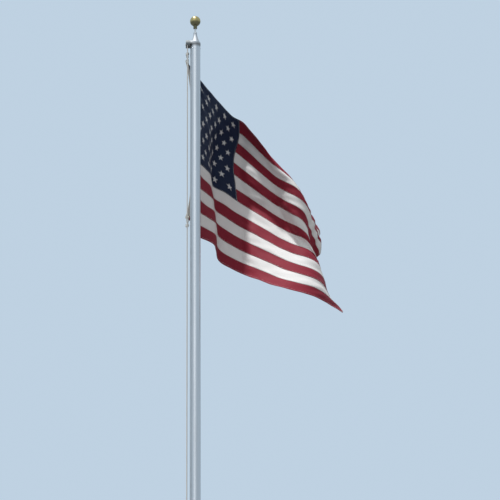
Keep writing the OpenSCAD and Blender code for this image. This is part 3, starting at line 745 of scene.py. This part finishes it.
def sewn_strip(name, u0, u1, v0, v1, material, stands_for, lap_left, lap_right):
    """One strip of the flag; its foot laps over the next, and its head lies under the last."""
    top, foot = v0 <= 0, v1 >= HOIST
    low_u = u0 - (NEST if lap_left == "heading" else LAP)
    high_u = u1 + (LAP if lap_right else 0)
    low_v = v0 if top else v0 - LAP
    high_v = v1 if foot else v1 + LAP
    u_lines = (u0 + LAP, u0 + 2 * LAP, u1 - LAP, u1 - 2 * LAP, u1 - FLY_HEM,
               u1 - FLY_HEM - HEM_STEP)
    v_lines = (v0 + LAP, v0 + 2 * LAP, v1 - LAP, v1 - 2 * LAP)
    if top:
        v_lines += (HEM, HEM + HEM_STEP)
    if foot:
        v_lines += (HOIST - HEM, HOIST - HEM - HEM_STEP)
    bm = pattern(stations(low_u, high_u, THREAD_GAP_U, u_lines),
                 stations(low_v, high_v, THREAD_GAP_V, v_lines))
    folds = bm.verts.layers.deform.verify()
    for vert in bm.verts:
        u, v = vert.co.x, vert.co.y
        lift = 0.0
        if not top:
            lift -= LAP_LIFT * float(1 - ease(v0 + LAP, v0 + 2 * LAP, v))
        if not foot:
            lift += LAP_LIFT * float(ease(v1 - 2 * LAP, v1 - LAP, v))
        if lap_left == "field":
            lift -= 2.2 * LAP_LIFT * float(1 - ease(u0 + LAP, u0 + 2 * LAP, u))
        if lap_right:
            lift += LAP_LIFT * float(ease(u1 - 2 * LAP, u1 - LAP, u))
        vert.co.z = lift
        in_hem = ((top and v <= HEM + TINY) or (foot and v >= HOIST - HEM - TINY)
                  or (not lap_right and u >= u1 - FLY_HEM - TINY))
        vert[folds][0] = 1.0 if in_hem else 0.0
    drape(bm)
    strip = piece(bm, name, material, "flag")
    strip.vertex_groups.new(name="hem")
    wall = thicken(strip, HEM_T)
    wall.vertex_group = "hem"
    wall.thickness_vertex_group = SINGLE_SHARE
    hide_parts(stands_for)
    return strip


STITCH_LEN = 0.0031
STITCH_PITCH = 0.0044
STITCH_W = 0.0006


def array_of(bm, count, step):
    """Repeats what a bmesh holds along a step, by doubling it."""
    made = 1
    while made < count:
        again = min(made, count - made)
        everything = list(bm.verts) + list(bm.edges) + list(bm.faces)
        if again < made:
            bm.verts.ensure_lookup_table()
            chosen = set(bm.verts[:len(bm.verts) * again // made])
            everything = list(chosen)
            everything += [e for e in bm.edges if all(v in chosen for v in e.verts)]
            everything += [f for f in bm.faces if all(v in chosen for v in f.verts)]
        copy = bmesh.ops.duplicate(bm, geom=everything)["geom"]
        verts = [g for g in copy if isinstance(g, bmesh.types.BMVert)]
        bmesh.ops.translate(bm, verts=verts, vec=Vector(step) * made)
        made += again


def stitch_row(start, end, half_height):
    """A row of lock stitches in the flat pattern, which show on both sides of the cloth."""
    start, end = Vector((*start, 0)), Vector((*end, 0))
    way = (end - start).normalized()
    count = max(1, int((end - start).length / STITCH_PITCH))
    bm = bmesh.new()
    bmesh.ops.create_cube(bm, size=1)
    bmesh.ops.scale(bm, verts=bm.verts, vec=(STITCH_LEN, STITCH_W, 2 * half_height))
    turn = Matrix.Rotation(math.atan2(way.y, way.x), 4, "Z")
    place = Matrix.Translation(start + way * STITCH_PITCH / 2)
    bmesh.ops.transform(bm, matrix=place @ turn, verts=bm.verts)
    array_of(bm, count, way * STITCH_PITCH)
    return bm


def stitching(name, rows):
    """All the rows of one kind of seam as one piece."""
    bm = bmesh.new()
    uv = bm.loops.layers.uv.new("UVMap")
    for row in rows:
        pour(stitch_row(*row), bm)
    for face in bm.faces:
        for loop in face.loops:
            loop[uv].uv = (loop.vert.co.x * 40, loop.vert.co.y)
    drape(bm)
    bmesh.ops.recalc_face_normals(bm, faces=bm.faces)
    return piece(bm, name, THREAD, "flag")


# ---- the flag ----

STAR_R = 0.0225 * HOIST
STAR_NOTCH = 0.382
STAR_T = 0.0015


def flat_star():
    """A star in the flat, point up; its UV map runs across and along each arm, in metres."""
    star = bmesh.new()
    uv = star.loops.layers.uv.new("UVMap")
    bmesh.ops.create_circle(star, cap_ends=True, cap_tris=True, segments=10, radius=1)
    for vert in star.verts:
        if vert.co.length > 0.5:
            corner = round(math.degrees(math.atan2(vert.co.x, vert.co.y)) / 36)
            a = math.radians(36 * corner)
            size = STAR_R * STAR_NOTCH if corner % 2 else STAR_R
            vert.co = Vector((math.sin(a), math.cos(a), 0)) * size
    bmesh.ops.subdivide_edges(star, edges=star.edges, cuts=2, use_grid_fill=True)
    for face in star.faces:
        middle = face.calc_center_median()
        arm = math.radians(72) * round(math.degrees(math.atan2(middle.x, middle.y)) / 72)
        for loop in face.loops:
            p = loop.vert.co
            loop[uv].uv = (p.x * math.cos(arm) - p.y * math.sin(arm),
                           p.x * math.sin(arm) + p.y * math.cos(arm))
    return star


def make_stars():
    """Fifty embroidered stars in nine rows; each goes through the cloth, to both sides."""
    bm = bmesh.new()
    bm.loops.layers.uv.new("UVMap")
    row_gap = FIELD_FOOT / 10
    column_gap = (CANTON_FLY - HEADING_W) / 12
    for row in range(1, 10):
        for column in range(1 if row % 2 else 2, 12, 2):
            star = flat_star()
            for vert in star.verts:
                vert.co = (HEADING_W + column * column_gap + vert.co.x,
                           row * row_gap - vert.co.y, 0)
            pour(star, bm)
    drape(bm)
    stars = piece(bm, "flag_stars", STAR_THREAD, "flag")
    thicken(stars, STAR_T)
    return stars


CANVAS_T = 0.0020
CANVAS_EDGE = 0.0015
HOLE_R = 0.0061
HOLE_SQUARE = 0.0105


def make_heading():
    """The folded canvas band along the hoist, with a round hole at each grommet."""
    near_side, far_side = GROMMET_IN - HOLE_SQUARE, GROMMET_IN + HOLE_SQUARE
    clear = far_side + 0.008
    us = [0, CANVAS_EDGE, near_side, GROMMET_IN, far_side, HEADING_W - CANVAS_EDGE, HEADING_W]
    vs = [0, CANVAS_EDGE, near_side, GROMMET_IN, far_side]
    vs = [*vs, *stations(clear, HOIST - clear, THREAD_GAP_V), *(HOIST - v for v in reversed(vs))]
    bm = pattern(us, vs)
    uv = bm.loops.layers.uv.active
    for v in (GROMMET_IN, HOIST - GROMMET_IN):
        spot = Vector((GROMMET_IN, v, 0))
        middle = [vert for vert in bm.verts if (vert.co - spot).length < 1e-5]
        bmesh.ops.delete(bm, geom=middle, context="VERTS")
        square = [e for e in bm.edges if len(e.link_faces) == 1
                  and all((vert.co - spot).length < 1.45 * HOLE_SQUARE for vert in e.verts)]
        ring = bmesh.ops.create_circle(bm, segments=24, radius=HOLE_R,
                                       matrix=Matrix.Translation(spot))["verts"]
        rim = [e for e in bm.edges if all(vert in ring for vert in e.verts)]
        bmesh.ops.bridge_loops(bm, edges=square + rim)
    for face in bm.faces:
        if face.normal.z < 0:
            face.normal_flip()
        for loop in face.loops:
            loop[uv].uv = loop.vert.co.xy
    drape(bm)
    heading = piece(bm, "flag_heading_canvas", CANVAS, "flag")
    thicken(heading, CANVAS_T)
    rounding = heading.modifiers.new("folded_edges", "BEVEL")
    rounding.width = 0.0006
    rounding.segments = 2
    rounding.limit_method = "ANGLE"
    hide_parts("flag_heading")
    return heading


# Half heights of the stitches: through hems, lapped seams, and canvas
THROUGH_HEM = 0.0009
THROUGH_SEAM = 0.0011
THROUGH_CANVAS = 0.0013
SEAM_ROW = 0.0028
ROW_IN = 0.002
FLY_END = FLY - ROW_IN


def seam_rows():
    """Two rows of stitches on each lapped seam, between strips and round the blue field."""
    rows = []
    for k in range(1, STRIPES):
        start = HEADING_W + 0.003 if k >= CANTON_STRIPES else CANTON_FLY + 0.008
        for v in (k * STRIPE_W - SEAM_ROW, k * STRIPE_W + SEAM_ROW):
            rows.append(((start, v), (FLY_END, v), THROUGH_SEAM))
    for u in (CANTON_FLY - SEAM_ROW, CANTON_FLY + SEAM_ROW):
        rows.append(((u, 0.003), (u, FIELD_FOOT - 0.004), THROUGH_CANVAS))
    return rows


def hem_rows():
    """Rows of stitches along the head, the foot and the folded fly end."""
    rows = []
    for v in (HEM - ROW_IN, HOIST - HEM + ROW_IN):
        rows.append(((HEADING_W + 0.003, v), (FLY_END, v), THROUGH_HEM))
    for inward in (0.0025, 0.0075, 0.0125, 0.0175):
        rows.append(((FLY - inward, 0.004), (FLY - inward, HOIST - 0.004), THROUGH_HEM))
    return rows


def heading_rows():
    """Rows along both edges of the canvas, and boxes of stitches at its two corners."""
    rows = []
    for u in (0.0040, HEADING_W - 0.0060, HEADING_W - 0.0025):
        rows.append(((u, 0.004), (u, HOIST - 0.004), THROUGH_CANVAS))
    for v in (0.0040, 0.0345, 0.0375, HOIST - 0.0375, HOIST - 0.0345, HOIST - 0.0040):
        rows.append(((0.005, v), (HEADING_W - 0.004, v), THROUGH_CANVAS))
    return rows


heading = make_heading()
heading_stitches = stitching("heading_stitches", heading_rows())
seam_stitches = stitching("seam_stitches", seam_rows())
hem_stitches = stitching("hem_stitches", hem_rows())
stars = make_stars()

field = sewn_strip("flag_field_cloth", HEADING_W, CANTON_FLY, 0, FIELD_FOOT, BLUE_NYLON,
                   "flag_canton", "heading", True)

for k in range(1, STRIPES + 1):
    beside = k <= CANTON_STRIPES
    start = CANTON_FLY if beside else HEADING_W
    cloth, slot = (RED_NYLON, "red_nylon") if k % 2 else (WHITE_NYLON, "white_nylon")
    strip = sewn_strip("flag_stripe_%02d_cloth" % k, start, FLY, (k - 1) * STRIPE_W, k * STRIPE_W,
                       cloth, "flag_stripe_%02d" % k,
                       "field" if beside else "heading", False)


# ---- ropes ----

def in_order(bm):
    """Sorts faces by their first two corners, because extruding makes them in no fixed order."""
    bm.verts.index_update()
    count = len(bm.verts)

    def place(face):
        first, second = sorted(vert.index for vert in face.verts)[:2]
        return first * count + second

    bm.faces.sort(key=place)


def swept(name, route, radii, sides, body):
    """A rope drawn along a route, ring by ring, with a UV map that runs round and along it."""
    bm = bmesh.new()
    uv = bm.loops.layers.uv.new("UVMap")
    around = bm.verts.layers.float.new("around")
    along = bm.verts.layers.float.new("along")
    ring = bmesh.ops.create_circle(bm, segments=sides, radius=1)["verts"]
    for vert in ring:
        vert[around] = (math.atan2(vert.co.y, vert.co.x) / math.tau) % 1.0
    edges = list(bm.edges)
    bmesh.ops.contextual_create(bm, geom=edges)
    frames, gone, up = [], 0.0, Vector((1, 0, 0))
    for i, point in enumerate(route):
        way = (route[min(i + 1, len(route) - 1)] - route[max(i - 1, 0)]).normalized()
        up = (up - way * up.dot(way)).normalized()
        turn = Matrix((up, way.cross(up), way)).transposed().to_4x4()
        if i:
            gone += (point - route[i - 1]).length
        frames.append((Matrix.Translation(point) @ turn @ Matrix.Scale(radii[i], 4), gone))
    before = frames[0][0]
    bmesh.ops.transform(bm, matrix=before, verts=ring)
    for matrix, distance in frames[1:]:
        made = bmesh.ops.extrude_edge_only(bm, edges=edges)["geom"]
        ring = [g for g in made if isinstance(g, bmesh.types.BMVert)]
        edges = [g for g in made if isinstance(g, bmesh.types.BMEdge)
                 and all(v in ring for v in g.verts)]
        bmesh.ops.transform(bm, matrix=matrix @ before.inverted(), verts=ring)
        for vert in ring:
            vert[along] = distance
        before = matrix
    bmesh.ops.contextual_create(bm, geom=edges)
    bmesh.ops.recalc_face_normals(bm, faces=bm.faces)
    in_order(bm)
    for face in bm.faces:
        turns = [loop.vert[around] for loop in face.loops]
        wraps = len(turns) == 4 and max(turns) - min(turns) > 0.5
        for loop, turned in zip(face.loops, turns):
            loop[uv].uv = (turned + (1.0 if wraps and turned < 0.5 else 0.0), loop.vert[along])
    return piece(bm, name, ROPE, body)


def bezier(p, f):
    """The point a share f along a curve with four guiding points."""
    return (p[0] * (1 - f) ** 3 + p[1] * 3 * f * (1 - f) ** 2 + p[2] * 3 * f * f * (1 - f)
            + p[3] * f ** 3)


EIGHT_FROM = -90
EIGHT_TO = 630
LAY = 2 * ROPE_R + 0.0007
STRAND_LOW = CLEAT_Z + POST_Z
FRONT_DROP = 0.084
BACK_DROP = 0.055
LEAD_STEPS = 24
STRAND_POINTS = 26
SPLICE_Z = GROMMET_Z + 0.08
SPLICE_GAP = 0.0002


def eight(degrees):
    """Figure of eight round the cleat's horns; the same turns as in the part's source."""
    turn = (degrees - EIGHT_FROM) / 360
    front = HORN_R + ROPE_R + 0.001 + LAY * degrees / 180
    behind = HORN_R + ROPE_R - 0.001 + 0.1 * LAY * turn
    half_w = HORN_R + ROPE_R + 0.003 + 0.75 * LAY * turn
    half_h = POST_Z + POST_W / 2 + ROPE_R + 0.001 + 1.2 * LAY * turn
    a = math.radians(degrees)
    fore = math.cos(2 * a)
    return Vector((-POLE_R - CLEAT_REACH - (front if fore > 0 else behind) * fore,
                   half_w * math.sin(2 * a), CLEAT_Z + half_h * math.sin(a)))


def lead(side, f):
    """Rope between a strand's end, at f = 0, and the figure of eight, at f = 1."""
    top = Vector((ROPE_X, side * ROPE_Y, STRAND_LOW - 2 * ROPE_R))
    end = eight(EIGHT_FROM if side > 0 else EIGHT_TO)
    drop = Vector((0, 0, BACK_DROP if side > 0 else FRONT_DROP))
    return bezier((top, top - drop, end + Vector((0, 6 * side * ROPE_R, 0)), end), f)


def halyard_route():
    """The whole loop: down to the cleat, round its horns, up the front and over the sheave."""
    route = [Vector((ROPE_X, ROPE_Y, z))
             for z in np.linspace(SPLICE_Z, STRAND_LOW, STRAND_POINTS)]
    route += [lead(1, i / LEAD_STEPS) for i in range(LEAD_STEPS)]
    route += [eight(a) for a in range(EIGHT_FROM, EIGHT_TO + 1, 5)]
    route += [lead(-1, i / LEAD_STEPS) for i in range(LEAD_STEPS - 1, -1, -1)]
    route += [Vector((ROPE_X, -ROPE_Y, z))
              for z in np.linspace(STRAND_LOW, SHEAVE_Z, STRAND_POINTS)]
    for degrees in range(172, -1, -8):
        a = math.radians(degrees)
        route.append(Vector((ROPE_X, ROPE_Y * math.cos(a), SHEAVE_Z + ROPE_Y * math.sin(a))))
    route.append(Vector((ROPE_X, ROPE_Y, SPLICE_Z + SPLICE_GAP)))
    return route


KNOT_TURNS = 3
TURN_POINTS = 20
KNOT_HALF = 0.0082
EYE_LOOP_R = 0.009
EYE_LOOP_IN = 0.012
LOOP_POINTS = 24
WRAP_ROPE_R = 0.0038
EYE_ROPE_R = 0.0030


def make_knot(node):
    """Halyard knot: three turns round the strand, and a loop that holds the snap's swivel eye."""
    low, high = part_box(node)
    eye_low, eye_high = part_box(node.replace("knot", "snap_eye"))
    x, y, z = (eye_low.x + eye_high.x) / 2, high.y - EYE_LOOP_IN, (low.z + high.z) / 2
    wrap = 2 * ROPE_R + 0.0004
    count = KNOT_TURNS * TURN_POINTS
    turns, loop = [], []
    for i in range(count + 1):
        a = math.tau * i / TURN_POINTS + math.pi / 2
        rise = 2 * KNOT_HALF * i / count - KNOT_HALF
        turns.append(Vector((ROPE_X + wrap * math.cos(a), ROPE_Y + wrap * math.sin(a), z + rise)))
    for i in range(1, LOOP_POINTS):
        a = math.pi - math.tau * i / LOOP_POINTS
        loop.append(Vector((x, y + EYE_LOOP_R * math.cos(a), z + EYE_LOOP_R * math.sin(a))))
    out = [turns[-1].lerp(loop[0], f) + Vector((-0.002, 0.001, 0)) * math.sin(math.pi * f)
           for f in (0.35, 0.7)]
    back = [loop[-1].lerp(turns[0], f) + Vector((0.002, 0, -0.001)) for f in (0.4, 0.8)]
    radii = ([WRAP_ROPE_R] * len(turns) + [0.0036, 0.0032]
             + [EYE_ROPE_R] * (len(loop) + len(back)))
    rope = swept(node + "_rope", turns + out + loop + back, radii, 12, "flag")
    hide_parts(node)


route = halyard_route()
halyard = swept("halyard", route, [ROPE_R] * len(route), 14, "pole")
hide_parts("halyard_hitch", "halyard_front_strand", "halyard_back_strand",
            "halyard_bend")
make_knot("upper_knot")
make_knot("lower_knot")


# ---- small fasteners ----

def screw_head(bm, place, way, radius, height):
    """A domed screw head with a round recess, that looks along way."""
    head = bmesh.new()
    bmesh.ops.create_cone(head, cap_ends=True, segments=28, radius1=radius, radius2=radius * 0.78,
                          depth=height)
    recess = next(f for f in head.faces if f.normal.z > 0.9)
    bmesh.ops.inset_individual(head, faces=[recess], thickness=radius * 0.34)
    bmesh.ops.translate(head, verts=recess.verts, vec=(0, 0, -height * 0.55))
    rim = [e for e in head.edges if len(e.link_faces) == 2 and e.calc_face_angle(0) > 0.6]
    bmesh.ops.bevel(head, geom=rim, offset=radius * 0.06, offset_type="OFFSET", segments=2,
                    profile=0.5, affect="EDGES", material=-1)
    turn = way.to_track_quat("Z", "Y").to_matrix().to_4x4()
    bmesh.ops.transform(head, matrix=Matrix.Translation(place) @ turn, verts=head.verts)
    pour(head, bm)


def make_set_screws():
    """Three screws that hold the truck on the pole."""
    bm = bmesh.new()
    for degrees in (0, 120, 240):
        a = math.radians(degrees)
        way = Vector((math.cos(a), math.sin(a), 0))
        place = way * (POLE_R + 0.0008) + Vector((0, 0, POLE_TOP - 0.026))
        screw_head(bm, place, way, 0.0048, 0.0032)
    piece(bm, "truck_set_screws", STAINLESS, "pole")


def make_cleat_screws():
    """Two screws through the cleat's base."""
    bm = bmesh.new()
    for z in (CLEAT_Z - 0.012, CLEAT_Z + 0.012):
        screw_head(bm, Vector((-POLE_R - 0.0066, 0, z)), Vector((-1, 0, 0)), 0.0052, 0.0036)
    piece(bm, "cleat_screws", STAINLESS, "pole")


make_set_screws()
make_cleat_screws()
